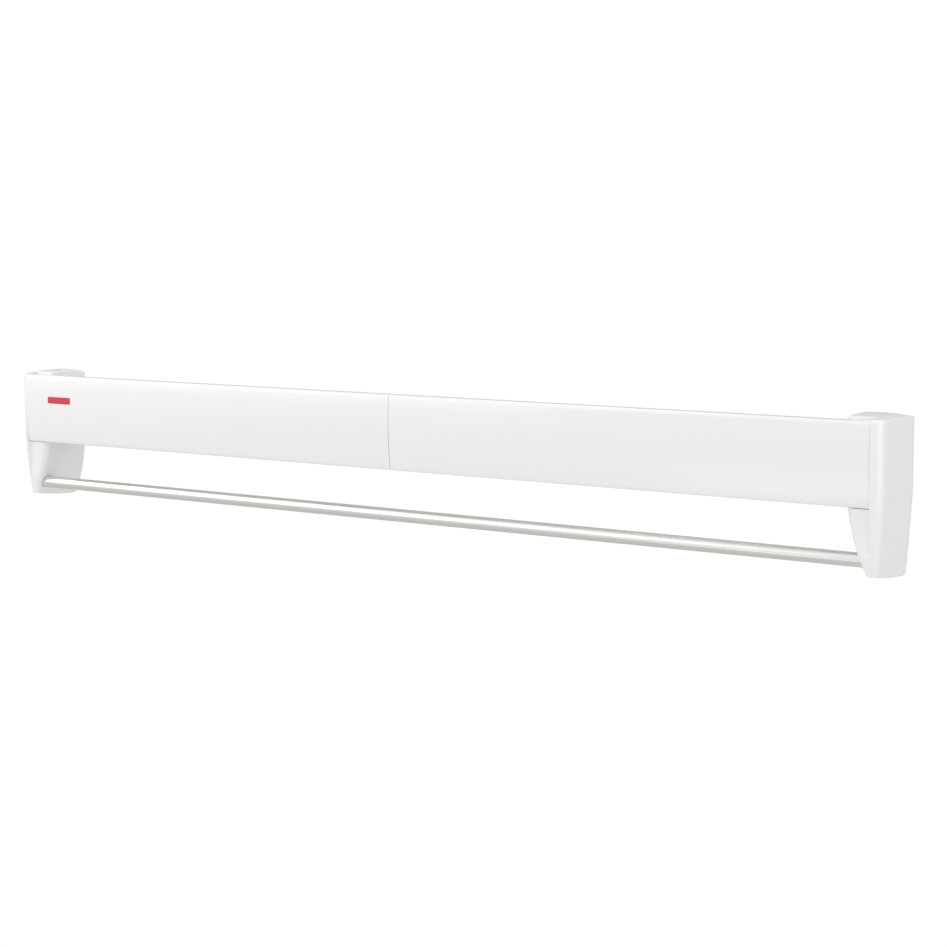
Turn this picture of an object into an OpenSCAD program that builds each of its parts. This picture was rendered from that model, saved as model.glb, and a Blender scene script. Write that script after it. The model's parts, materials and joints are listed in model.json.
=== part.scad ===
// Wall-mounted pull-out clothes airer: seven drying rods on two scissor
// stacks behind a two-part front panel, with a fixed towel rail below.
// X runs along the wall, Y = 0 is the wall and the airer stands in -Y, Z is up.
// The origin is the centre of the four wall holes.

/* [Front panel] */
// Length of the front panel, both halves together
panel_len = 1040; // [700:10:1200]
// Height of the panel's front face, from its top crease to its bottom edge
panel_h = 70.5; // [70:0.5:80]
// Wall thickness of the panel halves
panel_wall = 2.2; // [1.6:0.1:2.6]
// Radius of the panel's outward curve from top to bottom
panel_bulge_r = 300; // [200:1:400]
// How far the panel's rounded top edge rises above the front crease
lip_rise = 3.8; // [3:0.1:4.2]
// How far the panel's top edge reaches back
lip_depth = 14; // [12:0.5:15]

/* [End caps] */
// Distance from the wall to the front of the caps
depth = 65; // [65:1:72]
// How far each cap stands out beyond the end of the panel
cap_out = 10; // [10:0.1:12]
// How far each cap reaches inwards behind the panel
cap_in = 24.5; // [24.5:0.1:28]
// Height of the cap's foot, at the wall, below the panel's top crease
cap_drop = 133.5; // [133:0.5:136]
// How much higher the foot is at the front than at the wall
foot_rise = 4.3; // [3:0.1:5]
// Height of the cap's top edge above the panel's top crease
cap_rise = 5; // [4.5:0.1:6]
// Extra height of the crown near the middle of the cap's top
cap_crown = 3.3; // [2:0.1:4]
// Wall thickness of the caps
cap_wall = 2.5; // [2:0.1:2.5]

/* [Drying rods and scissor arms] */
// Diameter of the drying rods
rod_d = 6; // [5:0.5:6]
// Distance between the end pivots of one scissor arm
arm_len = 52; // [50:1:52]
// Distance from rod to rod when the airer is closed
closed_pitch = 7.2; // [7.1:0.05:7.2]
// Angle of the arms from the vertical when the airer is fully out
open_angle = 70; // [50:1:70]
// Width of the arms' eyes
eye_w = 6.4; // [6:0.1:6.4]
// Width of the arms between their eyes
arm_w = 5.4; // [5:0.1:5.6]
// Thickness of the arms
arm_t = 2; // [1.5:0.1:2]
// Diameter of the rivets and of the rods' turned ends
pin_d = 4; // [3:0.1:4]

/* [Towel rail] */
// Outside diameter of the towel rail
rail_d = 12.7; // [12:0.1:13]
// Wall thickness of the rail's tube
rail_wall = 1; // [0.8:0.1:1.5]
// Height of the rail's axis below the panel's top crease
rail_drop = 116.5; // [115:0.5:117]

/* [Wall fixing] */
// Height between the two screw holes of one wall bracket
hole_spacing_z = 72; // [60:1:72]
// Diameter of the screw holes
hole_d = 5.5; // [4:0.1:5.5]
// Thickness of the wall brackets' steel
steel_t = 2.5; // [2:0.1:2.5]

/* [Hidden] */
$fn = 64;

white = [0.94, 0.94, 0.93];
off_white = [0.86, 0.86, 0.85];
steel = [0.62, 0.64, 0.66];
aluminium = [0.78, 0.79, 0.80];
red = [0.75, 0.10, 0.12];

eps = 0.5;                       // overshoot of cutting solids
half_len = panel_len / 2;
front = -depth;                  // Y of the foremost plane
crease_z = 56;                   // Z of the panel's top crease
cap_top_z = crease_z + cap_rise;
foot_z = crease_z - cap_drop;
panel_bottom_z = crease_z - panel_h;
bulge_z = crease_z - 24;         // height at which the panel stands furthest out
end_gap = 0.4;                   // between the panel's end and the cap's rim

// Scissor stack. Pivot row T is the top row, row B the bottom row.
cells = 6;
rod_r = rod_d / 2;
pin_r = pin_d / 2;
fixed_fit = 0.02;                // radial room of a riveted or pressed joint
running_fit = 0.05;              // radial room of a turning joint
top_z = crease_z - 12;
bottom_z = top_z - sqrt(arm_len * arm_len - closed_pitch * closed_pitch);
raised_z = top_z - arm_len * cos(open_angle);   // row B when fully out
rear_y = -8;                     // Y of the fixed rear pivot
function row_y(i) = rear_y - i * closed_pitch;
front_y = row_y(cells);

// Layers at the right-hand end, from the inside outwards
up_x = half_len - 20.8;          // inner face of the up arms
layer_gap = 0.3;
down_x = up_x + arm_t + layer_gap;
stack_x = down_x + arm_t;        // outer face of the down arms
head_t = 0.8;
head_r = 3;
ear_x = half_len - 15.2;         // inner face of the bracket and carrier ears
bush_r = 3;
slot_r = bush_r + 0.1;
ear_foot_z = bottom_z - slot_r - 1.5;

rail_r = rail_d / 2;
rail_y = front + 18;
rail_z = crease_z - rail_drop;
rail_end_x = half_len - 4;

hole_x = half_len - 4;
hole_z = [-hole_spacing_z / 2, hole_spacing_z / 2];
cap_screw_x = half_len - 2.2;
cap_screw_y = -20;
cap_screw_z = foot_z + 0.4;      // face of the screw's head
cap_screw_head = 1.3;
tab_z = -45;                     // underside of the bracket's tab for the cap screw
tab_half_w = 4.5;
plate_w = 17.4;                  // width of the bracket's plate on the wall

panel_back_y = front + 7.5;      // back of the panel's screw bosses
foot_return = 1.4;               // how far the panel's bottom edge is turned in
carrier_screw_z = [crease_z - 13, crease_z - 57];
carrier_screw_x = half_len - 7;
joiner_screw_z = [crease_z - 21, crease_z - 57];
joiner_screw_x = 18;
joiner_t = 2.2;                  // thickness of the joiner plate
// [x, z] of the screws in the right-hand half of the panel
panel_screws = concat([for (z = carrier_screw_z) [carrier_screw_x, z]],
                      [for (z = joiner_screw_z) [joiner_screw_x, z]]);

// Distance of the panel's front behind the foremost plane, at height z
function panel_recess(z) = panel_bulge_r - sqrt(pow(panel_bulge_r, 2) - pow(z - bulge_z, 2));
// The same for the caps, whose front is straighter
cap_bow_r = 650;
function cap_recess(z) = pow(z - bulge_z, 2) / (2 * cap_bow_r);
// How far the cap's outer side leans in, and how far its inner side lies behind the panel end
lean_z = crease_z - 56;
lean_by = 5.6;                   // at the foot
leg_top_z = crease_z - 72;
leg_narrowing = 16.5;            // at the foot
top_spread = 2.8;                // how far the inner side leans out to the top
function cap_lean(z) = lean_by * pow(max(0, lean_z - z) / (lean_z - foot_z), 1.3);
function cap_reach(z) = cap_in - leg_narrowing * pow(max(0, leg_top_z - z) / (leg_top_z - foot_z), 2);
// Underside of the foot: level near the wall, rising towards the front
level_y = -9;
foot_front_y = front + 8;
function foot_height(y) = foot_z + foot_rise * pow(max(0, level_y - y) / (level_y - foot_front_y), 1.5);

// Extrude a YZ, XZ or XY outline along the third axis
module along_x(x0, x1) translate([x0, 0, 0]) rotate([90, 0, 90]) linear_extrude(x1 - x0) children();
module along_y(y0, y1) translate([0, y1, 0]) rotate([90, 0, 0]) linear_extrude(y1 - y0) children();
module along_z(z0, z1) translate([0, 0, z0]) linear_extrude(z1 - z0) children();
module rod_x(x0, x1, r, y, z) translate([x0, y, z]) rotate([0, 90, 0]) cylinder(h = x1 - x0, r = r);
module rod_y(y0, y1, r, x, z) translate([x, y1, z]) rotate([90, 0, 0]) cylinder(h = y1 - y0, r = r);
module mirrored(side) mirror([side == "left" ? 1 : 0, 0, 0]) children();
module both_ends() { children(); mirror([1, 0, 0]) children(); }

// ---- End caps -----------------------------------------------------------

// The cap is where three outlines meet. Each reaches over_cut past the faces that another one shapes.
over_cut = 0.8;
leg_setback = 6;                 // of the leg's front behind the rim beside the panel
lip_gap = 0.6;                   // behind the panel's top edge

// Outline seen from above, open at the back: rounded corners, and the rim that stands beside the panel
module cap_plan(inset) {
    corner_out = 10 - inset;
    corner_in = 8 - inset;
    x_in = half_len - cap_in - top_spread + inset - over_cut;
    x_out = half_len + cap_out - inset + over_cut;
    y_rim = front + inset - over_cut;
    y_leg = front + leg_setback + inset;
    rim_x = half_len + end_gap + inset;
    polygon(concat(
        [[x_in, 5]],
        [for (a = [180 : 15 : 270]) [x_in + corner_in * (1 + cos(a)), y_leg + corner_in * (1 + sin(a))]],
        [[rim_x, y_leg], [rim_x, y_rim]],
        [for (a = [285 : 15 : 360]) [x_out + corner_out * (cos(a) - 1), y_rim + corner_out * (1 + sin(a))]],
        [[x_out, 5]]
    ));
}

// The top's crown is highest at crown_x, crown_y and falls away most slowly towards the front
crown_x = half_len - 14;
crown_y = -22;
crown_in = 28;
crown_out = 24;
crown_ahead = 45;
crown_behind = 22;
function crown_share(distance, reach, power) = 1 - pow(min(1, abs(distance) / reach), power);

// Outline seen from the side: domed top with a rounded nose, gently bowed front, foot sloping to the wall.
// back moves the rear edge, past the wall for a cavity.
module cap_side(inset, back) {
    nose_r = 3.6 - inset;
    nose_y = front + cap_recess(crease_z) + inset;
    top_z = cap_top_z - inset + 0.3;
    chin_z = foot_height(foot_front_y) + inset + 1.4;
    heel = 1.5;
    polygon(concat(
        [for (i = [0 : 9]) let (y = back + (nose_y + nose_r - back) * i / 10)
            [y, top_z + cap_crown * crown_share(y - crown_y, y < crown_y ? crown_ahead : crown_behind, 2)]],
        [for (a = [0 : 22.5 : 90]) [nose_y + nose_r * (1 - sin(a)), top_z - nose_r * (1 - cos(a))]],
        [for (i = [1 : 10]) let (z = top_z - nose_r + (chin_z - top_z + nose_r) * i / 10)
            [front + cap_recess(z) + inset, z]],
        [for (i = [0 : 6]) let (y = foot_front_y + inset + 1.4 + (level_y - foot_front_y) * i / 7)
            [y, foot_height(y) + inset]],
        [[back - heel, foot_z + inset], [back, foot_z + inset + heel]]
    ));
}

// Outline seen from the front: crowned top, outer side leaning in, leg narrowing to the foot
module cap_front(inset) {
    x_in = half_len - cap_in - top_spread + inset;
    x_out = half_len + cap_out - inset;
    side_z = [for (i = [0 : 10]) foot_z - 2 + (lean_z + 12 - foot_z) * i / 10];
    polygon(concat(
        [for (z = side_z) [x_out - cap_lean(z), z]],
        [for (i = [0 : 12]) let (x = x_out + (x_in - x_out) * i / 12)
            [x, cap_top_z - inset
                + (cap_crown + 0.6) * crown_share(x - crown_x, x > crown_x ? crown_out : crown_in, 3)]],
        [for (i = [10 : -1 : 0]) [half_len - cap_reach(side_z[i]) + inset, side_z[i]]]
    ));
}

module cap_solid(inset, back) {
    intersection() {
        along_z(foot_z - 5, crease_z + 15) cap_plan(inset);
        along_x(half_len - 40, half_len + 20) cap_side(inset, back);
        along_y(front - 5, 5) cap_front(inset);
    }
}

module end_cap(side) {
    color(white) mirrored(side) difference() {
        union() {
            difference() {
                cap_solid(0, 0);
                cap_solid(cap_wall, 5);
            }
            // socket of the towel rail
            intersection() {
                rod_x(half_len - 14, rail_end_x + 2.5, rail_r + 2.2, rail_y, rail_z);
                cap_solid(0, 0);
            }
            // wall across the front of the top, above the scissors and behind the panel's top edge
            intersection() {
                translate([half_len - 40, front + lip_depth, crease_z - 4])
                    cube([40 + end_gap + cap_wall, lip_gap + cap_wall, 20]);
                cap_solid(0, 0);
            }
        }
        // opening that the panel closes, wide enough for the scissors to pass
        translate([half_len - 40, front - eps, panel_bottom_z - 1])
            cube([40 + end_gap, lip_depth + lip_gap + eps, 100]);
        // slot that lets the drying rods slide out through the inner wall
        translate([half_len - 40, front, top_z - rod_r - 1])
            cube([22.5, depth + rear_y, rod_d + 2]);
        rod_x(half_len - 40, half_len - 17.5, rod_r + 1.3, rear_y, top_z);
        rod_x(half_len - 40, rail_end_x, rail_r + running_fit, rail_y, rail_z);
        // countersunk hole for the screw that holds the cap to its bracket
        translate([cap_screw_x, cap_screw_y, foot_z - 2]) cylinder(h = 10, r = 1.9);
        translate([cap_screw_x, cap_screw_y, foot_z - 2])
            cylinder(h = cap_screw_z + cap_screw_head - foot_z + 2, r = 3.7);
    }
}

module cap_screws() {
    shank_end = tab_z + 6;
    color(steel) both_ends() translate([cap_screw_x, cap_screw_y, cap_screw_z]) {
        difference() {
            cylinder(h = cap_screw_head, r = 3.5);
            translate([0, 0, -1]) cylinder(h = 1.8, r = 1.3, $fn = 6);
        }
        translate([0, 0, 1]) cylinder(h = shank_end - cap_screw_z - 1, r = 1.7);
    }
}

// ---- Wall brackets and fixed rod ----------------------------------------

// Ear with a pivot hole at the top row and a slot for the sliding bottom row
module pivot_ear(y, y0, y1) {
    difference() {
        translate([ear_x, y0, ear_foot_z]) cube([steel_t, y1 - y0, top_z + 6 - ear_foot_z]);
        rod_x(ear_x - eps, ear_x + steel_t + eps, pin_r + fixed_fit, y, top_z);
        slide_slot(y);
    }
}

module slide_slot(y) {
    rod_x(ear_x - eps, ear_x + steel_t + eps, slot_r, y, bottom_z);
    rod_x(ear_x - eps, ear_x + steel_t + eps, slot_r, y, raised_z);
    translate([ear_x - eps, y - slot_r, bottom_z])
        cube([steel_t + 2 * eps, 2 * slot_r, raised_z - bottom_z]);
}

module wall_bracket(side) {
    color(steel) mirrored(side) difference() {
        union() {
            pivot_ear(rear_y, rear_y - 6.5, 0);
            // plate on the wall, narrowing downwards like the cap's leg
            along_y(-steel_t, 0) polygon([
                [ear_x, top_z + 6], [ear_x, tab_z + 20],
                [cap_screw_x - tab_half_w, tab_z], [cap_screw_x + tab_half_w, tab_z],
                [ear_x + plate_w, tab_z + 20], [ear_x + plate_w, top_z + 6]]);
            translate([cap_screw_x - tab_half_w, cap_screw_y - 6, tab_z])
                cube([2 * tab_half_w, 6 - cap_screw_y, steel_t]);
        }
        for (z = hole_z) rod_y(-steel_t - eps, eps, hole_d / 2, hole_x, z);
        translate([cap_screw_x, cap_screw_y, tab_z - eps]) cylinder(h = 5, r = 1.7 + fixed_fit);
    }
}

// A rod across the airer. Its thin ends pass through the arms and are headed over.
module cross_rod(y, shoulder_x, head_x) {
    rod_x(-shoulder_x, shoulder_x, rod_r, y, top_z);
    rod_x(-head_x - head_t, head_x + head_t, pin_r, y, top_z);
    both_ends() rod_x(head_x, head_x + head_t, head_r, y, top_z);
}

module rear_drying_rod() color(white) cross_rod(rear_y, down_x - 0.1, ear_x + steel_t);
module front_drying_rod() color(white) cross_rod(front_y, up_x - 0.1, ear_x + steel_t);
module drying_rod(i) color(white) cross_rod(row_y(i), up_x, stack_x + 0.1);

// ---- Towel rail ----------------------------------------------------------

module towel_rail() {
    color(aluminium) difference() {
        rod_x(-rail_end_x, rail_end_x, rail_r, rail_y, rail_z);
        rod_x(-rail_end_x - eps, rail_end_x + eps, rail_r - rail_wall, rail_y, rail_z);
    }
}

// ---- Scissor arms --------------------------------------------------------

// Flat bar between two pivots in the YZ plane, with a hole at each and one midway.
// a and b are [y, z]; fits are the radial room of the holes at a, midway and b.
module scissor_arm(x, a, b, fits) {
    mid = (a + b) / 2;
    tilt = atan2(b[1] - a[1], b[0] - a[0]);
    difference() {
        union() {
            for (p = [a, b]) rod_x(x, x + arm_t, eye_w / 2, p[0], p[1]);
            translate([x, mid[0], mid[1]]) rotate([tilt, 0, 0])
                translate([0, -arm_len / 2, -arm_w / 2]) cube([arm_t, arm_len, arm_w]);
        }
        rod_x(x - eps, x + arm_t + eps, pin_r + fits[0], a[0], a[1]);
        rod_x(x - eps, x + arm_t + eps, pin_r + fits[1], mid[0], mid[1]);
        rod_x(x - eps, x + arm_t + eps, pin_r + fits[2], b[0], b[1]);
    }
}

// Down arm i runs from the top row's pivot i - 1 to the bottom row's pivot i
module down_arm(side, i) {
    color(off_white) mirrored(side)
        scissor_arm(down_x, [row_y(i - 1), top_z], [row_y(i), bottom_z],
                    [running_fit, fixed_fit, fixed_fit]);
}

// Up arm i runs from the bottom row's pivot i - 1 to the top row's pivot i
module up_arm(side, i) {
    color(off_white) mirrored(side)
        scissor_arm(up_x, [row_y(i - 1), bottom_z], [row_y(i), top_z],
                    [i == 1 ? fixed_fit : running_fit, running_fit,
                     i == cells ? running_fit : fixed_fit]);
}

module rivet(y, z, x_end) {
    rod_x(up_x - head_t, up_x - 0.05, head_r, y, z);
    rod_x(up_x - head_t, x_end, pin_r, y, z);
    rod_x(x_end - head_t, x_end, head_r, y, z);
}

// The rivets that down arm i carries: one at its middle, one at its lower end
module arm_rivets(i) {
    color(steel) both_ends() {
        rivet((row_y(i - 1) + row_y(i)) / 2, (top_z + bottom_z) / 2, stack_x + 0.05 + head_t);
        if (i < cells) rivet(row_y(i), bottom_z, stack_x + 0.05 + head_t);
    }
}

// Pin at a free lower end of the stack, which slides in an ear's slot
module slide_pins(y, x0) {
    color(steel) both_ends() {
        rod_x(x0 - head_t, x0, head_r, y, bottom_z);
        rod_x(x0 - head_t, ear_x + steel_t + 1.2, pin_r, y, bottom_z);
        rod_x(ear_x + steel_t + 0.4, ear_x + steel_t + 1.2, head_r + 0.8, y, bottom_z);
    }
}

module slide_bushes(y) {
    color(off_white) both_ends() difference() {
        rod_x(ear_x - 0.1, ear_x + steel_t + 0.2, bush_r, y, bottom_z);
        rod_x(ear_x - eps, ear_x + steel_t + eps, pin_r + fixed_fit, y, bottom_z);
    }
}

module rear_slide_pins() slide_pins(rear_y, up_x);
module rear_slide_bushes() slide_bushes(rear_y);
module front_slide_pins() slide_pins(front_y, down_x);
module front_slide_bushes() slide_bushes(front_y);

// ---- Front panel ---------------------------------------------------------

module panel_section() {
    steps = 14;
    front_zs = [for (i = [0 : steps]) crease_z - panel_h * i / steps];
    top = crease_z + lip_rise;
    nose_y = front + panel_recess(crease_z);
    round_y = 3.6;
    foot_y = front + panel_recess(panel_bottom_z);
    w = panel_wall;
    polygon(concat(
        [[front + lip_depth, top]],
        [for (a = [0 : 18 : 72]) [nose_y + round_y * (1 - sin(a)), crease_z + lip_rise * cos(a)]],
        [for (z = front_zs) [front + panel_recess(z), z]],
        [[foot_y + w + foot_return, panel_bottom_z], [foot_y + w + foot_return, panel_bottom_z + w],
         [front + panel_recess(panel_bottom_z + w) + w, panel_bottom_z + w]],
        [for (i = [steps - 1 : -1 : 0]) [front + panel_recess(front_zs[i]) + w, front_zs[i]]],
        [[nose_y + round_y, top - w], [front + lip_depth, top - w]]
    ));
}

module front_panel(side) {
    color(white) mirrored(side) difference() {
        union() {
            along_x(0.15, half_len) panel_section();
            // bosses for the screws of the joiner and the carrier
            for (p = panel_screws)
                rod_y(front + 1 + panel_recess(p[1]), panel_back_y, 3.5, p[0], p[1]);
        }
        for (p = panel_screws) rod_y(panel_back_y - 3.4, panel_back_y + eps, 1.45, p[0], p[1]);
    }
}

module screw_holes(xs, zs) {
    for (z = zs, x = xs) rod_y(front, front + 30, 1.7, x, z);
}

module panel_joiner() {
    color(off_white) difference() {
        translate([-30, panel_back_y, crease_z - 63]) cube([60, joiner_t, 50]);
        screw_holes([-joiner_screw_x, joiner_screw_x], joiner_screw_z);
    }
}

// Pan-head screw, driven from behind into a panel boss
module panel_screw(x, z, plate_t) {
    difference() {
        union() {
            rod_y(panel_back_y - 3, panel_back_y + plate_t, 1.4, x, z);
            rod_y(panel_back_y + plate_t, panel_back_y + plate_t + 1.6, 2.8, x, z);
        }
        translate([x - 0.4, panel_back_y + plate_t + 0.8, z - 2]) cube([0.8, 2, 4]);
    }
}

module joiner_screws() {
    color(steel) for (z = joiner_screw_z, x = [-joiner_screw_x, joiner_screw_x])
        panel_screw(x, z, joiner_t);
}

module carrier_screws() {
    color(steel) for (z = carrier_screw_z, x = [-carrier_screw_x, carrier_screw_x])
        panel_screw(x, z, steel_t);
}

module panel_carrier(side) {
    color(off_white) mirrored(side) difference() {
        union() {
            pivot_ear(front_y, panel_back_y, front_y + 6.5);
            translate([ear_x, panel_back_y, ear_foot_z])
                cube([14.6, steel_t, top_z + 6 - ear_foot_z]);
        }
        screw_holes([carrier_screw_x], carrier_screw_z);
    }
}

// Small blank plate on the left half of the panel
module badge() {
    color(red) along_y(front - 0.5, front)
        translate([-half_len + 53.4, bulge_z + 1]) square([35, 7.3], center = true);
}

end_cap("left");  // left_end_cap
end_cap("right");  // right_end_cap
cap_screws();
wall_bracket("left");  // left_wall_bracket
wall_bracket("right");  // right_wall_bracket
towel_rail();
rear_drying_rod();
down_arm("left", 1);  // left_down_arm_1
down_arm("left", 2);  // left_down_arm_2
down_arm("left", 3);  // left_down_arm_3
down_arm("left", 4);  // left_down_arm_4
down_arm("left", 5);  // left_down_arm_5
down_arm("left", 6);  // left_down_arm_6
down_arm("right", 1);  // right_down_arm_1
down_arm("right", 2);  // right_down_arm_2
down_arm("right", 3);  // right_down_arm_3
down_arm("right", 4);  // right_down_arm_4
down_arm("right", 5);  // right_down_arm_5
down_arm("right", 6);  // right_down_arm_6
up_arm("left", 1);  // left_up_arm_1
up_arm("left", 2);  // left_up_arm_2
up_arm("left", 3);  // left_up_arm_3
up_arm("left", 4);  // left_up_arm_4
up_arm("left", 5);  // left_up_arm_5
up_arm("left", 6);  // left_up_arm_6
up_arm("right", 1);  // right_up_arm_1
up_arm("right", 2);  // right_up_arm_2
up_arm("right", 3);  // right_up_arm_3
up_arm("right", 4);  // right_up_arm_4
up_arm("right", 5);  // right_up_arm_5
up_arm("right", 6);  // right_up_arm_6
drying_rod(1);  // drying_rod_1
drying_rod(2);  // drying_rod_2
drying_rod(3);  // drying_rod_3
drying_rod(4);  // drying_rod_4
drying_rod(5);  // drying_rod_5
arm_rivets(1);  // arm_rivets_1
arm_rivets(2);  // arm_rivets_2
arm_rivets(3);  // arm_rivets_3
arm_rivets(4);  // arm_rivets_4
arm_rivets(5);  // arm_rivets_5
arm_rivets(6);  // arm_rivets_6
rear_slide_pins();
rear_slide_bushes();
front_slide_pins();
front_slide_bushes();
front_panel("left");  // left_front_panel
front_panel("right");  // right_front_panel
panel_joiner();
joiner_screws();
panel_carrier("left");  // left_panel_carrier
panel_carrier("right");  // right_panel_carrier
carrier_screws();
front_drying_rod();
badge();
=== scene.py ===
"""Looks of the wall-mounted pull-out clothes airer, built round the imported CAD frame.

Lengths are in millimetres and become metres when a mesh is made; lights and camera are in metres.
X runs along the wall, the wall is Y = 0 and the airer stands in -Y, Z is up.
"""

import json
import math

import bmesh
import bpy
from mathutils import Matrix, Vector


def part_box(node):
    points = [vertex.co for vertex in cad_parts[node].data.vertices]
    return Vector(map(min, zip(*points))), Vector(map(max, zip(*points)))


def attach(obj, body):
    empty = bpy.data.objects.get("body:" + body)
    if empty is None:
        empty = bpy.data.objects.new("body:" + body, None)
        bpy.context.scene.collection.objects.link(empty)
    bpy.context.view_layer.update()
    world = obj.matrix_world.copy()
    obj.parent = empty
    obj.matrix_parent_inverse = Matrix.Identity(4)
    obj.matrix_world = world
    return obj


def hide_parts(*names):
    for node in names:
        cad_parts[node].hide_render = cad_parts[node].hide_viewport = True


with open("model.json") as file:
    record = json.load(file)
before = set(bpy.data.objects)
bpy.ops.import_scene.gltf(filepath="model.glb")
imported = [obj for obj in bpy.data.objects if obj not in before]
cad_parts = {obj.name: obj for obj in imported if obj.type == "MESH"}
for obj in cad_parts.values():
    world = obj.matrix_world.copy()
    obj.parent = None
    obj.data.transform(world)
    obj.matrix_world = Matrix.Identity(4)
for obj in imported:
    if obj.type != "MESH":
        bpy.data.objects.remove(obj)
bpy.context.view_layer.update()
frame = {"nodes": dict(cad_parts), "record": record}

MM = 0.001
TURN = 2 * math.pi


# ---- Driving dimensions, read from the frame where it has them ------------

def mm_box(node):
    """Lowest and highest corner of a CAD node, in millimetres."""
    low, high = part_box(node)
    return low / MM, high / MM


def middle(node):
    """Centre of a CAD node's box, in millimetres."""
    low, high = mm_box(node)
    return (low + high) / 2


panel_low, panel_high = mm_box("right_front_panel")
cap_low, cap_high = mm_box("right_end_cap")
rail_low, rail_high = mm_box("towel_rail")

HALF = panel_high.x                   # end of the front panel
SEAM = panel_low.x                    # half the gap between the panel halves
SEAM_SPREAD = 0.2                     # how much further each half stands from it at the foot
FRONT = cap_low.y                     # foremost plane
LIP_RISE = 3.8                        # rounded top edge of the panel, above the front crease
LIP_DEPTH = panel_high.y - FRONT
CREASE = panel_high.z - LIP_RISE
PANEL_FOOT = panel_low.z
PANEL_WALL = 2.2
PANEL_CURVE = 300                     # radius of the panel's bulge from top to bottom
BULGE = CREASE - 24                   # height at which the panel stands furthest out
NOSE = 3.6                            # depth of the rounding over the top edge
FOOT_RETURN = 1.4                     # how far the panel's foot is turned in
BOSS_R = 3.5                          # screw bosses behind the panel

CAP_WALL = 2.5
CAP_BOW = 650                         # radius of the cap's front from top to foot
CAP_OUT = cap_high.x - HALF
TOP_SPREAD = 2.8                      # how far the cap's inner side leans out to its top
SPREAD_Z, SPREAD_RISE = 10, 46        # height at which that begins, and height it takes
CAP_IN = HALF - cap_low.x - TOP_SPREAD
CAP_TOP = CREASE + 5                  # height of the top's edges
CAP_FOOT = cap_low.z
FOOT_RISE = 4.3                       # the foot is this much higher at the front than at the wall
LEVEL_Y = -9                          # behind this the foot is level
LEG_FRONT_Y = FRONT + 8
LEG_SETBACK = 6                       # of the leg's front face behind the foremost plane
LEG_TOP = CREASE - 72
LEG_NARROWING = 16.5                  # of the leg at its foot, beside the wall
LEG_FRONT_NARROWING = 19              # the same at the leg's front
LIFT_TOP = LEG_TOP - 14               # below this the leg follows the slope of the foot
LEAN_Z = CREASE - 56                  # below this the outer side leans in
CAP_LEAN = 5.6                        # how far it has leaned in at the foot
CORNER_R = 13.2                       # upright corner between the front and the outer side
CORNER_TAPER = 7.2 / 70               # how fast that radius shrinks below LEAN_Z
INNER_R = 8                           # upright inner corner of the leg
INNER_TAPER = 4.6                     # how much less that radius is at the foot
BACK_R = 1.2                          # edges beside the wall
LEAST_R = 0.3                         # smallest radius of an upright corner
END_GAP = 0.12                        # between the panel's end and the cap's rim
RIM_EDGE = 0.2                        # rounding of the rim
RIM_FILLET = 5.0                      # from the leg's front face up to the rim
LIP_ROOM = FRONT + LIP_DEPTH + 0.6    # the cap's top begins behind the panel's lip
FLARE = 1.2                           # radius of the rounding from there up to the dome
CAVITY_STEP = CREASE - 4              # above this height the hollow ends behind the lip
CROWN_START = CREASE - 2              # above this height the cap is drawn up to its dome
CAP_CROWN = 3.4                       # height of the dome above the top's edges
CROWN_X, CROWN_Y = HALF - 14, -22     # highest point of the dome
CROWN_IN, CROWN_OUT = 28, 24          # how far the dome reaches inwards and outwards from it,
CROWN_AHEAD, CROWN_BEHIND = 40, 22    # towards the front and towards the wall
CUT_FROM = HALF - 40                  # cutters for the inner side start here, clear of the cap

RAIL_R = (rail_high.z - rail_low.z) / 2
RAIL_Y = (rail_high.y + rail_low.y) / 2
RAIL_Z = (rail_high.z + rail_low.z) / 2
RAIL_WALL = 1.0
CELLS = 6                                   # crossing pairs of arms in one scissor stack
ROD_R = 3
PIN_R = 2                                   # rivets and the rods' turned-down ends
HEAD_R = 3                                  # heads of both
HEAD_ROOM = 0.05                            # between a rivet's head and the arm
SHOULDER_ROOM = 0.1                         # between a rod's shoulder or head and the arm
ARM_EYE_R = 3.2
UP_X = mm_box("right_up_arm_1")[0].x        # inner faces of the two arm layers
DOWN_X = mm_box("right_down_arm_1")[0].x
STACK_X = mm_box("right_down_arm_1")[1].x   # outer face of the stack
EAR_X = mm_box("right_wall_bracket")[0].x + 2.5   # outer face of the ears that hold the end rods
REAR_Y = middle("rear_drying_rod").y
ROD_Z = middle("rear_drying_rod").z


# ---- Materials ------------------------------------------------------------

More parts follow.
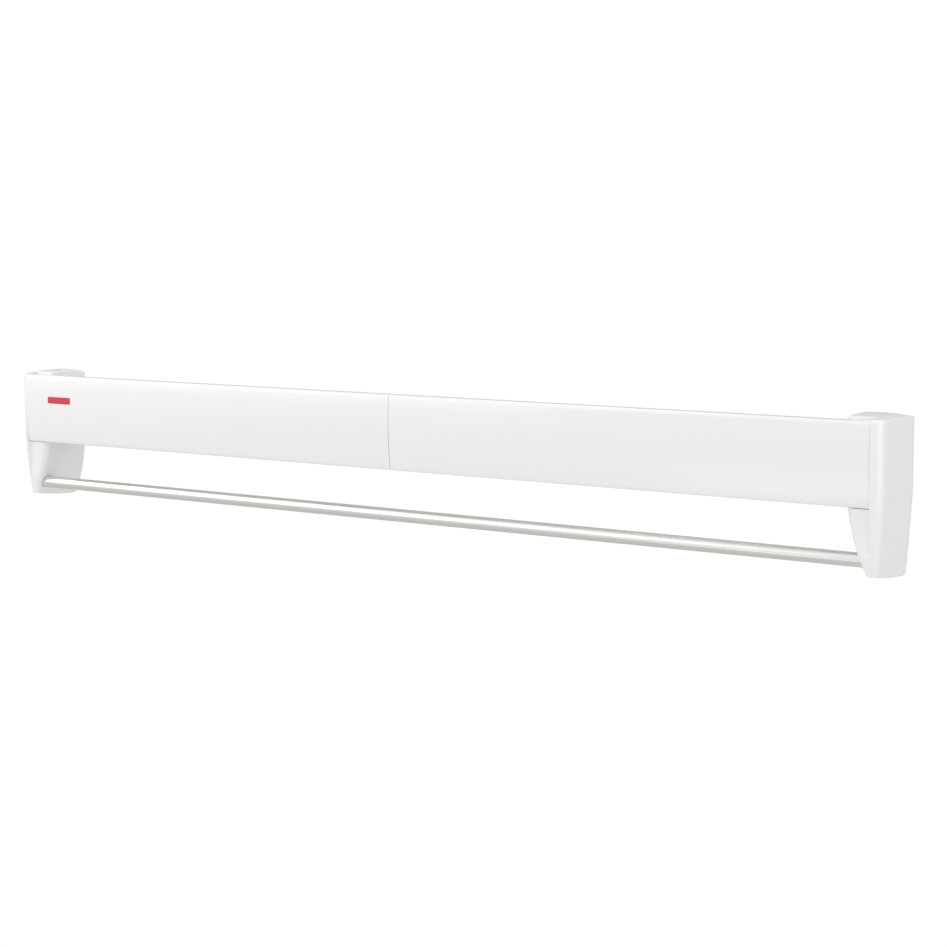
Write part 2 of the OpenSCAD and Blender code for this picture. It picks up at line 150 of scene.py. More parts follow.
def surface(name, colour, roughness, grain, grain_depth, mottle, metallic=0.0, coat=0.0,
            stretch=(1, 1, 1), rough_spread=0.05):
    """Procedural finish: fine grain in the bump and the gloss, slow mottling in the colour.

    grain is the bump's frequency per metre and stretch scales it along X, Y and Z.
    """
    noise_low, noise_high = 0.3, 0.7      # nearly all of the noise lies between these
    made = bpy.data.materials.new(name)
    made.use_nodes = True
    nodes, links = made.node_tree.nodes, made.node_tree.links
    shader = nodes["Principled BSDF"]
    shader.inputs["Metallic"].default_value = metallic
    shader.inputs["Coat Weight"].default_value = coat
    shader.inputs["Coat Roughness"].default_value = 0.08

    place = nodes.new("ShaderNodeTexCoord")
    scaled = nodes.new("ShaderNodeMapping")
    scaled.inputs["Scale"].default_value = stretch
    links.new(place.outputs["Object"], scaled.inputs["Vector"])

    fine = nodes.new("ShaderNodeTexNoise")
    fine.inputs["Scale"].default_value = grain
    fine.inputs["Detail"].default_value = 3
    links.new(scaled.outputs["Vector"], fine.inputs["Vector"])
    bump = nodes.new("ShaderNodeBump")
    bump.inputs["Strength"].default_value = grain_depth
    bump.inputs["Distance"].default_value = 0.2 * MM
    links.new(fine.outputs["Fac"], bump.inputs["Height"])
    links.new(bump.outputs["Normal"], shader.inputs["Normal"])

    slow = nodes.new("ShaderNodeTexNoise")
    slow.inputs["Scale"].default_value = 14
    slow.inputs["Detail"].default_value = 4
    links.new(scaled.outputs["Vector"], slow.inputs["Vector"])
    tint = nodes.new("ShaderNodeValToRGB")
    dark, light = tint.color_ramp.elements
    dark.position, light.position = noise_low, noise_high
    dark.color = [c * (1 - mottle) for c in colour] + [1]
    light.color = [min(1, c * (1 + mottle)) for c in colour] + [1]
    links.new(slow.outputs["Fac"], tint.inputs["Fac"])
    links.new(tint.outputs["Color"], shader.inputs["Base Color"])

    gloss = nodes.new("ShaderNodeMapRange")
    gloss.inputs["From Min"].default_value = noise_low
    gloss.inputs["From Max"].default_value = noise_high
    gloss.inputs["To Min"].default_value = roughness - rough_spread / 2
    gloss.inputs["To Max"].default_value = roughness + rough_spread / 2
    links.new(fine.outputs["Fac"], gloss.inputs["Value"])
    links.new(gloss.outputs["Result"], shader.inputs["Roughness"])
    return made


MATERIALS = {
    # glossy ABS with a faint orange peel
    "gloss_white": surface("gloss_white_plastic", (0.872, 0.867, 0.872), 0.24, coat=0.7, grain=420,
                           grain_depth=0.035, mottle=0.006),
    # lightly spark-eroded mould finish
    "inner_plastic": surface("matte_inner_plastic", (0.78, 0.78, 0.77), 0.5, grain=2600,
                             grain_depth=0.25, mottle=0.015, rough_spread=0.1),
    # powder coat: a coarser, softer peel
    "arm_coating": surface("powder_coated_steel", (0.82, 0.82, 0.81), 0.36, grain=1300,
                           grain_depth=0.3, mottle=0.012, rough_spread=0.12),
    "rod_coating": surface("white_coated_rod", (0.85, 0.85, 0.845), 0.28, coat=0.2, grain=700,
                           grain_depth=0.08, mottle=0.01, stretch=(0.15, 1, 1)),
    # zinc plate with a slight spangle
    "zinc_steel": surface("zinc_plated_steel", (0.62, 0.63, 0.65), 0.3, metallic=1.0, grain=1800,
                          grain_depth=0.2, mottle=0.09, rough_spread=0.16),
    # drawn and anodised tube: fine lines along its length
    "satin_aluminium": surface("satin_anodised_aluminium", (0.80, 0.795, 0.78), 0.27,
                               metallic=1.0, grain=2400, grain_depth=0.12, mottle=0.02,
                               stretch=(0.012, 1, 1), rough_spread=0.12),
    "red_badge": surface("gloss_red_enamel", (0.58, 0.012, 0.03), 0.22, coat=0.5, grain=900,
                         grain_depth=0.05, mottle=0.05),
}


# ---- Mesh helpers ---------------------------------------------------------

def make_object(name, points, faces, smooth_angle=35):
    """Object from points in millimetres, with outward faces and smooth shading below an angle."""
    mesh = bpy.data.meshes.new(name)
    mesh.from_pydata([Vector(p) * MM for p in points], [], faces)
    tidy = bmesh.new()
    tidy.from_mesh(mesh)
    bmesh.ops.remove_doubles(tidy, verts=tidy.verts, dist=0.0005 * MM)
    bmesh.ops.recalc_face_normals(tidy, faces=tidy.faces)
    tidy.to_mesh(mesh)
    tidy.free()
    made = bpy.data.objects.new(name, mesh)
    bpy.context.scene.collection.objects.link(made)
    shade(made, smooth_angle)
    return made


def shade(made, smooth_angle):
    made.data.shade_smooth()
    made.data.set_sharp_from_angle(angle=math.radians(smooth_angle))


def mirrored(points, side):
    """The points of the right-hand end, or their mirror image for the left."""
    flip = -1 if side == "left" else 1
    return [(flip * p[0], p[1], p[2]) for p in points]


def loft(rings):
    """Closed solid through rings of equal length, with a flat face at each end."""
    count = len(rings[0])
    points = [p for ring in rings for p in ring]
    faces = [tuple(range(count)), tuple(range(len(points) - count, len(points)))]
    for level in range(len(rings) - 1):
        a, b = level * count, (level + 1) * count
        for i in range(count):
            k = (i + 1) % count
            faces.append((a + i, a + k, b + k, b + i))
    return points, faces


def lathe(profile, axis, place, segments=48):
    """Solid of revolution through (distance along the axis, radius); axis is 0, 1 or 2 for X, Y or Z."""
    rings = []
    for along, radius in profile:
        ring = []
        for i in range(segments):
            angle = TURN * i / segments
            spot = list(place)
            spot[axis] += along
            spot[(axis + 1) % 3] += radius * math.cos(angle)
            spot[(axis + 2) % 3] += radius * math.sin(angle)
            ring.append(tuple(spot))
        rings.append(ring)
    return loft(rings)


def quarter(steps):
    """Evenly spaced angles from 0 to a right angle."""
    return [math.pi / 2 * i / steps for i in range(steps + 1)]


def rounded(start, end, radius, edge=0.3):
    """Profile of a plain cylinder from start to end with rounded edges."""
    arcs = quarter(4)
    head = [(start + edge * (1 - math.sin(a)), radius - edge * (1 - math.cos(a)))
            for a in reversed(arcs)]
    tail = [(end - edge * (1 - math.sin(a)), radius - edge * (1 - math.cos(a))) for a in arcs]
    return head + tail


def domed(start, end, radius):
    """Profile of a rivet head: full radius a little past start, falling to the axis at end."""
    edge, tip_r = 0.35, 0.02
    return [(start + (end - start) * (edge + (1 - edge) * math.sin(a)), max(tip_r, radius * math.cos(a)))
            for a in quarter(6)]


def joined(parts):
    """Several (points, faces) as one."""
    points, faces = [], []
    for some_points, some_faces in parts:
        faces += [tuple(i + len(points) for i in face) for face in some_faces]
        points += some_points
    return points, faces


def finish_piece(made, body, slot, node):
    """Gives a new piece the material of a slot and a body, and hides the CAD node it is shown instead
    of.
    """
    made.data.materials.clear()
    made.data.materials.append(MATERIALS[slot])
    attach(made, body)
    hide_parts(node)


def cut(made, cutters, operation="DIFFERENCE"):
    """Applies a boolean with each cutter, then throws the cutters away."""
    for cutter in cutters:
        step = made.modifiers.new("cut", "BOOLEAN")
        step.operation = operation
        step.solver = "EXACT"
        step.object = cutter
        apply_modifiers(made)
        bpy.data.objects.remove(cutter)


def apply_modifiers(made):
    graph = bpy.context.evaluated_depsgraph_get()
    final = bpy.data.meshes.new_from_object(made.evaluated_get(graph))
    old = made.data
    made.modifiers.clear()
    made.data = final
    final.name = made.name
    bpy.data.meshes.remove(old)


def soften(made, width, angle=40):
    """Rounds the edges that are sharper than an angle."""
    step = made.modifiers.new("soft_edges", "BEVEL")
    step.width = width * MM
    step.segments = 2
    step.limit_method = "ANGLE"
    step.angle_limit = math.radians(angle)
    step.use_clamp_overlap = True


# ---- End caps -------------------------------------------------------------

# Points along a cap's outline: edge beside the wall, either side, inner corner, leg's front, fillet
# with the rim, outer corner
BACK_POINTS, SIDE_POINTS, INNER_POINTS, LEG_POINTS, RIM_POINTS, OUTER_POINTS = 5, 6, 12, 2, 12, 14


def below(start, end, at, power=1):
    """Share of the way down from start to end, 0 above start. A higher power sets in later."""
    return (max(0.0, start - at) / (start - end)) ** power


def outer_side(z):
    """X of the outer side, which leans in towards the foot."""
    return HALF + CAP_OUT - CAP_LEAN * below(LEAN_Z, CAP_FOOT, z, 1.3)


def top_spread(z):
    """How far the inner side leans out above the leg."""
    return TOP_SPREAD * min(1.0, max(0.0, (z - SPREAD_Z) / SPREAD_RISE))


def inner_side(z):
    """X of the inner side beside the wall: narrow at the foot and leaning out to the top."""
    return HALF - CAP_IN - top_spread(z) + LEG_NARROWING * below(LEG_TOP, CAP_FOOT, z, 2)


def inner_front(z):
    """X of the leg's inner side at its front, which narrows sooner."""
    narrowed = below(LEG_TOP + 2, CAP_FOOT + FOOT_RISE, z, 1.45)
    return HALF - CAP_IN - top_spread(z) + LEG_FRONT_NARROWING * narrowed


def cap_recess(z):
    """How far the cap's front stands behind the foremost plane at height z."""
    return (z - BULGE) ** 2 / (2 * CAP_BOW)


def corner_radius(z):
    """Radius of the upright corner between the cap's front and its outer side."""
    return CORNER_R - CORNER_TAPER * max(0.0, LEAN_Z - z)


def foot_lift(y, z):
    """How much the sloping foot raises a point whose level height is z."""
    return FOOT_RISE * below(LEVEL_Y, LEG_FRONT_Y, y, 1.5) * below(LIFT_TOP, CAP_FOOT, z)


def on_foot(outline, z):
    """The outline at height z, raised where the foot slopes."""
    return [(x, y, z + foot_lift(y, z)) for x, y in outline]


def arc(centre_x, centre_y, radius, start, end, count):
    """Points on an arc, with angles in degrees."""
    angles = [math.radians(start + (end - start) * i / (count - 1)) for i in range(count)]
    return [(centre_x + radius * math.cos(a), centre_y + radius * math.sin(a)) for a in angles]


def line(start, end, count):
    """Points strictly between two ends."""
    return [(start[0] + (end[0] - start[0]) * i / (count + 1),
             start[1] + (end[1] - start[1]) * i / (count + 1)) for i in range(1, count + 1)]


def rim_and_fillet(rim_x, y_rim, y_face):
    """Concave fillet from the leg's set-back face up to the rim, and the rim's rounded edge."""
    edge_points = 4
    step = y_face - y_rim
    edge = min(RIM_EDGE, 0.4 * step)
    fillet_r = min(RIM_FILLET, 1.25 * step)
    sweep = math.acos(max(0.0, 1 - (step - edge) / fillet_r))
    width = fillet_r * math.sin(sweep)
    count = RIM_POINTS - edge_points + 1
    fillet = [(rim_x - width + fillet_r * math.sin(a), y_face - fillet_r * (1 - math.cos(a)))
              for a in [sweep * i / (count - 1) for i in range(count)]]
    return fillet + arc(rim_x + edge, y_rim + edge, edge, 180, 270, edge_points)[1:]


def cap_outline(z, inset=0.0):
    """Plan of the right-hand cap at height z, as (x, y): forwards on the inside, across, and back."""
    z_front = z + foot_lift(LEG_FRONT_Y, z)
    x_back, x_front = inner_side(z) + inset, inner_front(z_front) + inset
    x_out = outer_side(z) - inset
    y_rim = FRONT + cap_recess(z_front) + inset
    r_out = max(LEAST_R, corner_radius(z_front) - inset)
    corner_x, corner_y = x_out - r_out, y_rim + r_out

    least_step = 0.05                 # from the leg's face to the rim
    sweep = math.asin(max(0.0, (HALF + END_GAP + RIM_EDGE - corner_x) / r_out))
    y_edge = corner_y - r_out * math.cos(sweep)
    y_face = max(FRONT + LEG_SETBACK + inset, y_edge + least_step)
    taper = min(1.0, below(LEG_TOP, CAP_FOOT, z))
    r_in = max(LEAST_R, INNER_R - INNER_TAPER * taper - inset)
    rim = rim_and_fillet(HALF + END_GAP, y_edge, y_face)

    back_in = arc(x_back + BACK_R, -inset - BACK_R, BACK_R, 90, 180, BACK_POINTS)
    front_in = arc(x_front + r_in, y_face + r_in, r_in, 180, 270, INNER_POINTS)
    front_out = arc(corner_x, corner_y, r_out, 270 + math.degrees(sweep), 360, OUTER_POINTS)
    back_out = arc(x_out - BACK_R, -inset - BACK_R, BACK_R, 0, 90, BACK_POINTS)
    return (back_in + line(back_in[-1], front_in[0], SIDE_POINTS) + front_in
            + line(front_in[-1], rim[0], LEG_POINTS) + rim + front_out
            + line(front_out[-1], back_out[0], SIDE_POINTS) + back_out)


def cavity_outline(z):
    """Plan of the hollow inside at height z, as (x, y), open towards the wall."""
    past_wall = 8
    z_front = z + foot_lift(LEG_FRONT_Y, z)
    x_back, x_front = inner_side(z) + CAP_WALL, inner_front(z_front) + CAP_WALL
    x_out = outer_side(z) - CAP_WALL
    width = x_out - x_front
    y_front = max(FRONT + LEG_SETBACK, FRONT + cap_recess(z_front)) + CAP_WALL
    if z > CAVITY_STEP:
        y_front = LIP_ROOM + FLARE + CAP_WALL
    r_in = max(0.8, min(INNER_R - CAP_WALL, 0.3 * width))
    r_out = min(0.45 * width, corner_radius(z_front) - CAP_WALL)
    inner = arc(x_front + r_in, y_front + r_in, r_in, 180, 270, 8)
    outer = arc(x_out - r_out, y_front + r_out, r_out, 270, 360, 8)
    rear_in, rear_out = (x_back, past_wall), (x_out, past_wall)
    return ([rear_in] + line(rear_in, inner[0], SIDE_POINTS) + inner + outer
            + line(outer[-1], rear_out, SIDE_POINTS) + [rear_out])


def crown_height(x, y):
    """Height of the domed top above a point of the plan, falling most slowly towards the front."""
    from_x, from_y = x - CROWN_X, y - CROWN_Y
    across = min(1.0, abs(from_x) / (CROWN_OUT if from_x > 0 else CROWN_IN))
    deep = min(1.0, abs(from_y) / (CROWN_BEHIND if from_y > 0 else CROWN_AHEAD))
    return CAP_TOP + CAP_CROWN * (1 - across ** 3) * (1 - deep ** 2)


def crowned(name, side, rings, drop):
    """Solid through the rings, its flat top cut into strips both ways and raised to the dome.

    drop is how far its top stays below the cap's own.
    """
    strips_across, strips_deep = 18, 26
    flat = CAP_TOP - drop
    points, faces = loft(rings)
    made = make_object(name, points, faces)
    shell = bmesh.new()
    shell.from_mesh(made.data)
    cuts = [((HALF - CAP_IN + (CAP_IN + CAP_OUT) * k / strips_across, 0, 0), (1, 0, 0))
            for k in range(1, strips_across)]
    cuts += [((0, FRONT * k / strips_deep, 0), (0, 1, 0)) for k in range(1, strips_deep)]
    for place, normal in cuts:
        top = [f for f in shell.faces if f.calc_center_median().z > (flat - 0.01) * MM]
        around = set(top) | {e for f in top for e in f.edges} | {v for f in top for v in f.verts}
        bmesh.ops.bisect_plane(shell, geom=list(around), plane_co=Vector(place) * MM, plane_no=normal)
    for vert in shell.verts:
        z = vert.co.z / MM
        if z > CROWN_START:
            dome = crown_height(vert.co.x / MM, vert.co.y / MM) - drop
            lift = (dome - CROWN_START) / (flat - CROWN_START)
            vert.co.z = (CROWN_START + (z - CROWN_START) * lift) * MM
    if side == "left":
        for vert in shell.verts:
            vert.co.x = -vert.co.x
        bmesh.ops.reverse_faces(shell, faces=shell.faces)
    shell.to_mesh(made.data)
    shell.free()
    return made


def top_ring(angle):
    """One outline of the top edge's rounding: soft on the inside, softest in front, crisp outside."""
    soft_r, nose_r, crisp_r = 1.8, 3.8, 1.3
    radii = ([soft_r] * (BACK_POINTS + SIDE_POINTS + INNER_POINTS + LEG_POINTS)
             + [nose_r] * RIM_POINTS
             + [nose_r + (crisp_r - nose_r) * i / (OUTER_POINTS - 1) for i in range(OUTER_POINTS)]
             + [crisp_r] * (SIDE_POINTS + BACK_POINTS))
    outlines = {radius: cap_outline(CREASE, radius * (1 - math.cos(angle))) for radius in set(radii)}
    return [outlines[radius][i] + (CAP_TOP - radius * (1 - math.sin(angle)),)
            for i, radius in enumerate(radii)]


def cap_rings():
    """Outlines of the cap from its rounded foot to its rounded top edge."""
    foot_edge, levels = 1.5, 46
    rings = []
    for a in quarter(6)[:-1]:
        z = CAP_FOOT + foot_edge * (1 - math.cos(a))
        rings.append(on_foot(cap_outline(z, foot_edge * (1 - math.sin(a))), z))
    for k in range(levels + 1):
        z = CAP_FOOT + foot_edge + (CROWN_START - CAP_FOOT - foot_edge) * k / levels
        rings.append(on_foot(cap_outline(z), z))
    return rings + [top_ring(a) for a in quarter(6)]


def cavity_rings():
    """Outlines of the hollow inside, closer together down the leg."""
    leg_heights = range(-66, -25, 8)
    heights = [CAP_FOOT + CAP_WALL, *leg_heights, LEG_TOP, 0, 20,
               CAVITY_STEP, CAVITY_STEP + 0.1, CROWN_START, CAP_TOP - CAP_WALL]
    return [on_foot(cavity_outline(z), z) for z in heights]


def panel_opening():
    """Room for the panel; it rounds the front edge of the cap's top behind the lip."""
    ahead, above = FRONT - 5, CREASE + 30
    low, lip = PANEL_FOOT - 0.6, CREASE + 6
    section = [(ahead, low), (LIP_ROOM, low)]
    section += [(LIP_ROOM + FLARE * (1 - math.cos(a)), lip + FLARE * math.sin(a)) for a in quarter(10)]
    section += [(LIP_ROOM + FLARE, above), (ahead, above)]
    return loft([[(x, y, z) for y, z in section] for x in (CUT_FROM, HALF + END_GAP)])


def rod_slot():
    """Slot through the inner side, open at the front, that lets the drying rods slide out."""
    slot_r, slot_end, ahead = ROD_R + 1, HALF - 17.5, FRONT - 2
    section = arc(REAR_Y, ROD_Z, slot_r, 90, -90, 17)
    section += [(ahead, ROD_Z - slot_r), (ahead, ROD_Z + slot_r)]
    return loft([[(x, y, z) for y, z in section] for x in (CUT_FROM, slot_end)])


def rail_socket():
    """Sleeve inside the leg, closed at its outer end, that holds the towel rail."""
    start, end, socket_r = HALF - 7.5, rail_high.x + 2.5, RAIL_R + 2.2
    return lathe([(start, socket_r), (end, socket_r)], 0, (0, RAIL_Y, RAIL_Z))


def rail_hole():
    """Hole from the inner side to the bottom of the socket."""
    hole_r = RAIL_R + 0.2
    return lathe([(CUT_FROM, hole_r), (rail_high.x, hole_r)], 0, (0, RAIL_Y, RAIL_Z))


def screw_hole():
    """Hole and recess under the foot for the screw that holds the cap to its bracket."""
    low, high = mm_box("cap_screws")
    head_r, head_t, hole_r = 3.5, 1.3, 1.9
    recess_r = head_r + 0.2
    profile = [(-3, recess_r), (head_t, recess_r), (head_t, hole_r), (10, hole_r)]
    return lathe(profile, 2, (high.x - head_r, (low.y + high.y) / 2, low.z), 32)


def make_cap(side):
    """Hollow cover with a domed top, open at the back and beside the panel."""
    def cutter(name, shape):
        points, faces = shape
        return make_object(name, mirrored(points, side), faces)

    cap = crowned(side + "_cap_cover", side, cap_rings(), 0)
    cut(cap, [crowned("cavity", side, cavity_rings(), CAP_WALL)])
    cut(cap, [cutter("socket", rail_socket())], "UNION")
    cut(cap, [cutter("panel_opening", panel_opening()), cutter("rod_slot", rod_slot()),
              cutter("rail_hole", rail_hole()), cutter("screw_hole", screw_hole())])
    soften(cap, 0.25, angle=50)
    apply_modifiers(cap)
    shade(cap, 38)
    finish_piece(cap, "wall_frame", "gloss_white", side + "_end_cap")


# ---- Front panel ----------------------------------------------------------

def panel_front(z):
    """Y of the panel's front face at height z."""
    return FRONT + PANEL_CURVE - math.sqrt(PANEL_CURVE ** 2 - (z - BULGE) ** 2)


def panel_outline():
    """Section of the panel as (y, z): over the lip, down the front, under and back up inside."""
    top, wall = CREASE + LIP_RISE, PANEL_WALL
    nose_y = panel_front(CREASE)
    foot_y = panel_front(PANEL_FOOT)
    rear = FRONT + LIP_DEPTH
    round_r, edge, steps = 1.4, 0.4, 26
    heights = [CREASE + (PANEL_FOOT + round_r - CREASE) * i / steps for i in range(steps + 1)]
    lip = [(rear - edge, top), (rear - 3, top), (rear - 6, top)]
    nose = [(nose_y + NOSE * (1 - math.sin(a)), CREASE + LIP_RISE * math.cos(a))
            for a in quarter(9)[:-1]]
    front = [(panel_front(z), z) for z in heights]
    under = arc(foot_y + round_r, PANEL_FOOT + round_r, round_r, 195, 270, 6)
    turn_in = foot_y + wall + FOOT_RETURN
    foot = [(turn_in - edge, PANEL_FOOT), (turn_in, PANEL_FOOT + edge),
            (turn_in, PANEL_FOOT + wall - edge), (turn_in - edge, PANEL_FOOT + wall)]
    inside = [(panel_front(z) + wall, z) for z in [PANEL_FOOT + wall] + heights[-2::-1]]
    under_lip = [(nose_y + NOSE, top - wall), (rear - edge, top - wall), (rear, top - wall + edge),
                 (rear, top - edge)]
    return lip + nose + front + under[1:] + foot + inside + under_lip


def shrunk(outline, amount):
    """The outline moved inwards by a small amount, for chamfered ends."""
    moved = []
    for i, (y, z) in enumerate(outline):
        before, after = outline[i - 1], outline[(i + 1) % len(outline)]
        along = Vector((after[0] - before[0], after[1] - before[1]))
        along.normalize()
        moved.append((y - along.y * amount, z + along.x * amount))
    return moved


def seam_side(z):
    """X of a panel half's inner end; the seam opens very slightly towards the foot."""
    return SEAM + SEAM_SPREAD * (CREASE - z) / (CREASE - PANEL_FOOT)


def panel_bosses(side):
    """Bosses behind the panel for the screws of the joiner and the carrier."""
    bosses = []
    back, head_r = mm_box("panel_joiner")[0].y, 2.8
    for screws in ("joiner_screws", "carrier_screws"):
        low, high = mm_box(screws)
        for z in (low.z + head_r, high.z - head_r):
            points, faces = lathe(rounded(panel_front(z) + 1, back, BOSS_R),
                                  1, (high.x - head_r, 0, z), 32)
            bosses.append(make_object("boss", mirrored(points, side), faces))
    return bosses


def make_panel(side):
    """One half of the front panel, with chamfered ends and its screw bosses."""
    chamfer, columns = 0.2, 30
    outline = panel_outline()
    narrow = shrunk(outline, chamfer)
    rings = [[(seam_side(z), y, z) for y, z in narrow]]
    for k in range(columns + 1):
        share = k / columns
        rings.append([(seam_side(z) + chamfer + (HALF - 2 * chamfer - seam_side(z)) * share, y, z)
                      for y, z in outline])
    rings.append([(HALF, y, z) for y, z in narrow])
    points, faces = loft(rings)
    panel = make_object(side + "_panel_skin", mirrored(points, side), faces, 30)
    cut(panel, panel_bosses(side), "UNION")
    soften(panel, 0.2, angle=60)
    apply_modifiers(panel)
    shade(panel, 30)
    finish_piece(panel, "front", "gloss_white", side + "_front_panel")


def make_badge():
    """Blank enamel plate with rounded corners and a slightly domed face."""
    low, high = mm_box("badge")
    centre = (low + high) / 2
    half_x, half_z, corner = (high.x - low.x) / 2, (high.z - low.z) / 2, 1.0

    def ring(y, inset):
        made = []
        radius = max(0.1, corner - inset)
        for sx, sz, start in ((1, 1, 0), (-1, 1, 90), (-1, -1, 180), (1, -1, 270)):
            cx = centre.x + sx * (half_x - corner)
            cz = centre.z + sz * (half_z - corner)
            made += [(x, y, z) for x, z in arc(cx, cz, radius, start, start + 90, 6)]
        return made

    thick = high.y - low.y
    dome = [(0.45, 0), (0.2, 0.12), (0.06, 0.35), (0, 0.8)]     # share of the thickness, inset
    rings = [ring(high.y, 0)] + [ring(low.y + thick * share, inset) for share, inset in dome]
    points, faces = loft(rings)
    badge = make_object("blank_badge", points, faces, 50)
    finish_piece(badge, "front", "red_badge", "badge")


# ---- Rail, rods and rivets ------------------------------------------------

def make_rail():
    """Open tube, its ends inside the caps' sockets."""
    end, inner_r, steps = rail_high.x, RAIL_R - RAIL_WALL, 24
    outer = rounded(-end, end, RAIL_R)
    half = len(outer) // 2
    between = [(-end + 2 * end * i / steps, RAIL_R) for i in range(1, steps)]
    profile = outer[:half] + between + outer[half:] + [(end, inner_r), (-end, inner_r)]
    points, faces = lathe(profile + profile[:1], 0, (0, RAIL_Y, RAIL_Z), 72)
    rail = make_object("towel_rail_tube", points, faces[2:], 40)
    finish_piece(rail, "wall_frame", "satin_aluminium", "towel_rail")


def make_rod(node, body, shoulder, head_start):
    """Coated rod with turned-down ends that are headed over."""
    low, high = mm_box(node)
    place = (0, (low.y + high.y) / 2, (low.z + high.z) / 2)
    steps = 12
    edge = [(shoulder - 0.5, ROD_R), (shoulder - 0.15, ROD_R - 0.1), (shoulder, ROD_R - 0.45)]
    turned = [(shoulder, PIN_R), (head_start, PIN_R)]
    head = [(head_start, HEAD_R - 0.25), (head_start + 0.15, HEAD_R)]
    right = edge + turned + head + domed(head_start + 0.2, high.x, HEAD_R)
    between = [(shoulder * (i / steps - 1), ROD_R) for i in range(1, 2 * steps)]
    left = [(-along, radius) for along, radius in reversed(right)]
    points, faces = lathe(left + between + right, 0, place, 40)
    rod = make_object(node + "_bar", points, faces, 40)
    finish_piece(rod, body, "rod_coating", node)


def rivet(y, z):
    """Rivet through both arm layers, with a domed head on each face."""
    head_t, under_r = 0.8, HEAD_R - 0.1
    inner, outer = UP_X - HEAD_ROOM, STACK_X + HEAD_ROOM
    inner_head = [(2 * inner - along, radius)
                  for along, radius in reversed(domed(inner, inner + head_t, HEAD_R))]
    shank = [(inner, under_r), (inner, PIN_R), (outer, PIN_R), (outer, under_r)]
    return lathe(inner_head + shank + domed(outer, outer + head_t, HEAD_R), 0, (0, y, z), 28)


def make_rivets(index):
    """The rivets that one pair of down arms carries: at the middle and, but for the last, the foot."""
    low, high = mm_box("right_down_arm_%d" % index)
    spots = [((low.y + high.y) / 2, (low.z + high.z) / 2)]
    if index < CELLS:
        spots.append((low.y + ARM_EYE_R, low.z + ARM_EYE_R))
    parts = []
    for y, z in spots:
        points, faces = rivet(y, z)
        parts += [(points, faces), (mirrored(points, "left"), faces)]
    points, faces = joined(parts)
    made = make_object("rivets_%d" % index, points, faces, 45)
    finish_piece(made, "down_arms_%d" % index, "zinc_steel", "arm_rivets_%d" % index)


# ---- Parts whose CAD shape is shown as it is ------------------------------

def dress_cad_node(name, slot, edge):
    """Keeps a CAD node, with its record finish and lightly rounded edges."""
    made = frame["nodes"][name]
    made.data.materials.clear()
    made.data.materials.append(MATERIALS[slot])
    if edge:
        soften(made, edge)
    shade(made, 35)


def dress_all():
    slots = {row["node"]: row["material_slot"] for row in frame["record"]["subparts"]}
    edges = {"arm_coating": 0.3, "zinc_steel": 0.2, "inner_plastic": 0.3}
    for name, slot in slots.items():
        if not frame["nodes"][name].hide_render:
            dress_cad_node(name, slot, edges.get(slot, 0))


# ---- Stage, light and camera ----------------------------------------------

def paper():
    """White to the camera, dimmer and warmer as a light source, darkest behind the airer."""
    made = bpy.data.materials.new("pale_paper")
    made.use_nodes = True
    nodes, links = made.node_tree.nodes, made.node_tree.links
    nodes.clear()
    out = nodes.new("ShaderNodeOutputMaterial")
    place = nodes.new("ShaderNodeTexCoord")
    split = nodes.new("ShaderNodeSeparateXYZ")
    depth = nodes.new("ShaderNodeMapRange")
    depth.inputs["From Min"].default_value = -3.0
    depth.inputs["From Max"].default_value = 1.5
    ramp = nodes.new("ShaderNodeValToRGB")
    ramp.color_ramp.elements[0].color = (0.80, 0.785, 0.75, 1)
    ramp.color_ramp.elements[1].color = (0.55, 0.55, 0.53, 1)
    links.new(place.outputs["Object"], split.inputs["Vector"])
    links.new(split.outputs["Y"], depth.inputs["Value"])
    links.new(depth.outputs["Result"], ramp.inputs["Fac"])
    dim = nodes.new("ShaderNodeEmission")
    links.new(ramp.outputs["Color"], dim.inputs["Color"])
    white = nodes.new("ShaderNodeEmission")
    white.inputs["Strength"].default_value = 1.02
    clear = nodes.new("ShaderNodeBsdfTransparent")
    path = nodes.new("ShaderNodeLightPath")
    facing = nodes.new("ShaderNodeNewGeometry")
    by_ray, by_side = nodes.new("ShaderNodeMixShader"), nodes.new("ShaderNodeMixShader")
    links.new(path.outputs["Is Camera Ray"], by_ray.inputs[0])
    links.new(dim.outputs["Emission"], by_ray.inputs[1])
    links.new(white.outputs["Emission"], by_ray.inputs[2])
    links.new(facing.outputs["Backfacing"], by_side.inputs[0])
    links.new(by_ray.outputs["Shader"], by_side.inputs[1])
    links.new(clear.outputs["BSDF"], by_side.inputs[2])
    links.new(by_side.outputs["Shader"], out.inputs["Surface"])
    return made


def make_stage():
    """Pale floor that turns up into a backdrop, well clear of the airer."""
    floor_z, back_y, bend, reach, top_z = -900, 2600, 900, 9000, 6000
    profile = [(-reach, floor_z), (back_y - bend, floor_z)]
    profile += [(back_y - bend + bend * math.sin(a), floor_z + bend * (1 - math.cos(a)))
                for a in quarter(12)[1:]]
    profile.append((back_y, top_z))
    points = [(x, y, z) for y, z in profile for x in (-reach, reach)]
    faces = [(2 * i, 2 * i + 1, 2 * i + 3, 2 * i + 2) for i in range(len(profile) - 1)]
    stage = make_object("pale_floor", points, faces, 60)
    if stage.data.polygons[0].normal.z < 0:
        stage.data.flip_normals()
    stage.data.materials.append(paper())


def make_light(name, place, target, size, power):
    """Soft rectangular light aimed at a point, in metres."""
    lamp = bpy.data.lights.new(name, "AREA")
    lamp.shape = "RECTANGLE"
    lamp.size, lamp.size_y = size
    lamp.energy = power
    made = bpy.data.objects.new(name, lamp)
    made.location = place
    made.rotation_mode = "QUATERNION"
    made.rotation_quaternion = (Vector(target) - Vector(place)).to_track_quat("-Z", "Y")
    made.visible_camera = False
    bpy.context.scene.collection.objects.link(made)


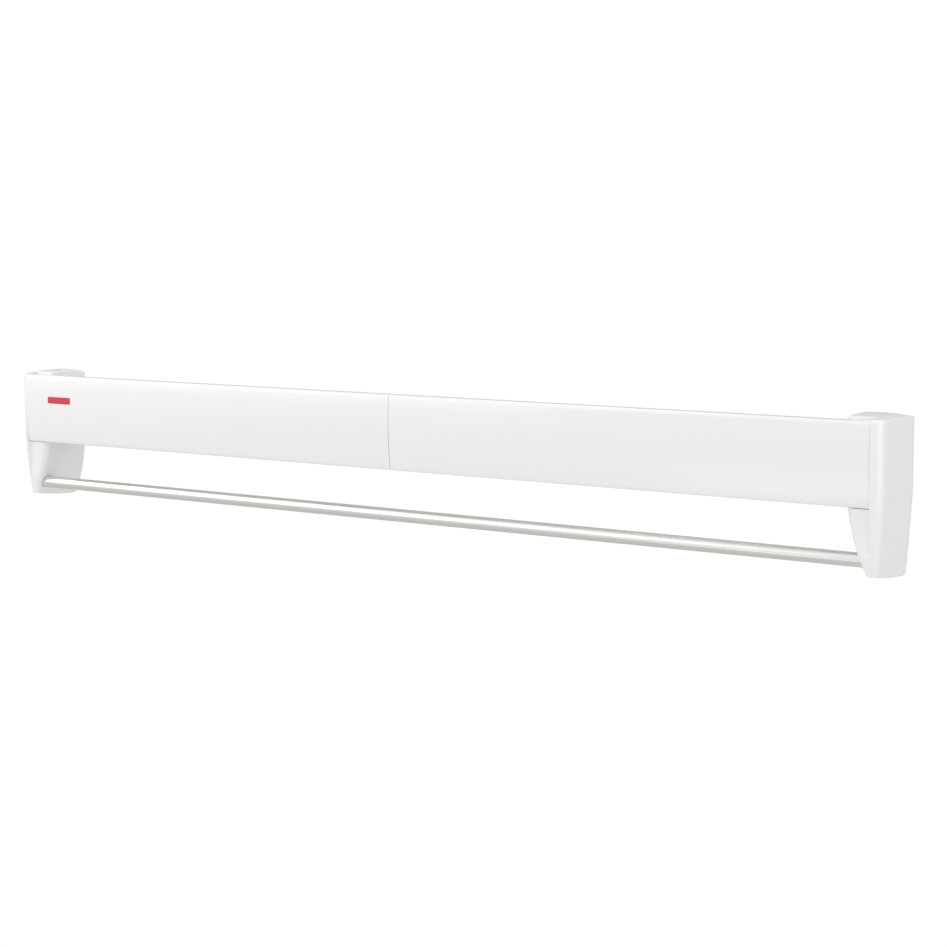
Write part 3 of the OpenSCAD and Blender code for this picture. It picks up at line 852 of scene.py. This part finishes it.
def make_world():
    """Sky that is brightest overhead, a little to the front and left, and white to the camera."""
    world = bpy.data.worlds.new("soft_room")
    world.use_nodes = True
    nodes, links = world.node_tree.nodes, world.node_tree.links
    sky, out = nodes["Background"], nodes["World Output"]
    place = nodes.new("ShaderNodeTexCoord")
    towards = nodes.new("ShaderNodeVectorMath")
    towards.operation = "DOT_PRODUCT"
    towards.inputs[1].default_value = (-0.15, -0.5, 0.85)
    ramp = nodes.new("ShaderNodeMapRange")
    ramp.inputs["From Min"].default_value = -1
    ramp.inputs["To Min"].default_value = 0.78
    ramp.inputs["To Max"].default_value = 1.0
    links.new(place.outputs["Generated"], towards.inputs[0])
    links.new(towards.outputs["Value"], ramp.inputs["Value"])
    links.new(ramp.outputs["Result"], sky.inputs["Strength"])
    sky.inputs["Color"].default_value = (1, 1, 1, 1)
    white = nodes.new("ShaderNodeBackground")
    white.inputs["Color"].default_value = (1, 1, 1, 1)
    path = nodes.new("ShaderNodeLightPath")
    mix = nodes.new("ShaderNodeMixShader")
    links.new(path.outputs["Is Camera Ray"], mix.inputs[0])
    links.new(sky.outputs["Background"], mix.inputs[1])
    links.new(white.outputs["Background"], mix.inputs[2])
    links.new(mix.outputs["Shader"], out.inputs["Surface"])
    bpy.context.scene.world = world


def make_camera():
    """Camera to the right of the airer and a little above it, turned to the left and slightly down."""
    turn, tilt = math.radians(37.11), math.radians(6.11)
    lens = bpy.data.cameras.new("camera")
    lens.sensor_width = 36
    lens.lens = 86.18
    made = bpy.data.objects.new("camera", lens)
    made.location = (1.3967, -1.7725, 0.2186)
    back = Vector((math.sin(turn) * math.cos(tilt), -math.cos(turn) * math.cos(tilt), math.sin(tilt)))
    made.rotation_mode = "QUATERNION"
    made.rotation_quaternion = (-back).to_track_quat("-Z", "Y")
    bpy.context.scene.collection.objects.link(made)
    bpy.context.scene.camera = made


for side in ("left", "right"):
    make_cap(side)
    make_panel(side)
make_badge()
make_rail()
make_rod("rear_drying_rod", "wall_frame", DOWN_X - SHOULDER_ROOM, EAR_X)
make_rod("front_drying_rod", "front", UP_X - SHOULDER_ROOM, EAR_X)
for index in range(1, CELLS):
    make_rod("drying_rod_%d" % index, "up_arms_%d" % index, UP_X, STACK_X + SHOULDER_ROOM)
for index in range(1, CELLS + 1):
    make_rivets(index)
dress_all()

make_stage()
make_light("key", (-1.7, -0.9, 0.65), (-0.45, 0, 0), (2.4, 1.2), 10)
make_light("left_top", (-0.3, 0.1, 0.9), (-0.5, -0.03, 0.06), (0.5, 0.5), 0.8)
make_light("side_fill", (2.6, -0.3, 0.3), (0.5, 0, 0), (1.6, 1.6), 8)
make_light("high_fill", (2.6, 0.1, 2.2), (0.4, 0, 0), (1.6, 1.6), 7)
make_light("flank_fill", (0.45, -0.02, -0.55), (-0.5, -0.02, -0.05), (0.5, 0.5), 1)
make_light("floor_card", (-0.70, -2.30, -0.72), (0.4, 0, 0), (0.7, 0.42), 0.8)
make_world()
make_camera()
bpy.context.scene.view_settings.view_transform = "Standard"
